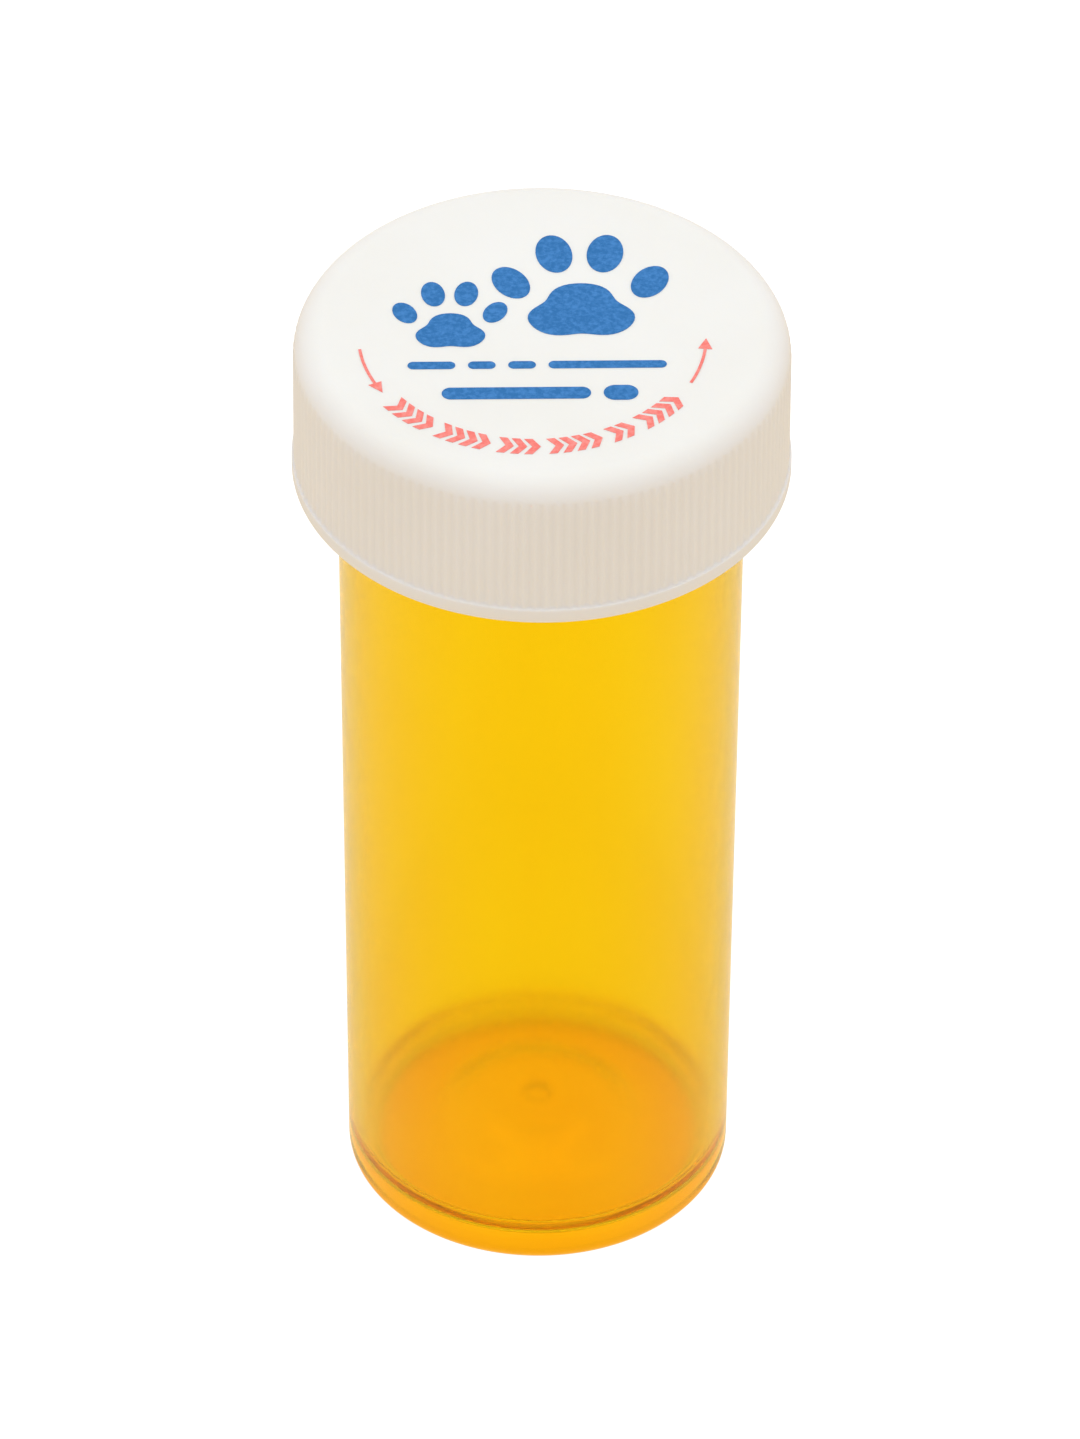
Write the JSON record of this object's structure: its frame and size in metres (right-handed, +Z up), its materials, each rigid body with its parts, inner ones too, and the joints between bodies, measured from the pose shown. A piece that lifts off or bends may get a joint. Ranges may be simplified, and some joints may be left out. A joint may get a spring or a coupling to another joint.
{
  "type": "prescription vial",
  "caption": "Amber see-through pharmacy vial with a white push-down-and-turn cap, ribbed skirt and sprung sealing disc.",
  "frame": {"origin": "centre of the vial's foot, on the surface it stands on", "axes": "+Z up along the vial's axis, towards the cap. The front of the print on the cap's top faces -Y"},
  "size_m": [0.0406, 0.0406, 0.0871],
  "materials": {
    "amber_plastic": "clear amber polypropylene, glossy, see-through",
    "white_plastic": "white polypropylene, satin, finely ribbed skirt, with printed ink on the top",
    "natural_plastic": "natural low-density polyethylene, waxy, slightly cloudy",
    "blue_ink": "blue pad-printed ink, slightly uneven in cover",
    "coral_ink": "coral pad-printed ink, slightly uneven in cover"
  },
  "bodies": {
    "vial": {"vial_body": "amber_plastic"},
    "seal": {"spring_seal": "natural_plastic"},
    "cap": {"cap_shell": "white_plastic"}
  },
  "joints": [
    {"name": "cap_lift", "type": "slide", "parent": "vial", "child": "seal", "axis": [0, 0, 1], "range_m": [0, 0.024]},
    {"name": "cap_turn", "type": "hinge", "parent": "seal", "child": "cap", "pos_m": [0, 0, 0], "axis": [0, 0, 1], "range_deg": [-30, 0]}
  ]
}
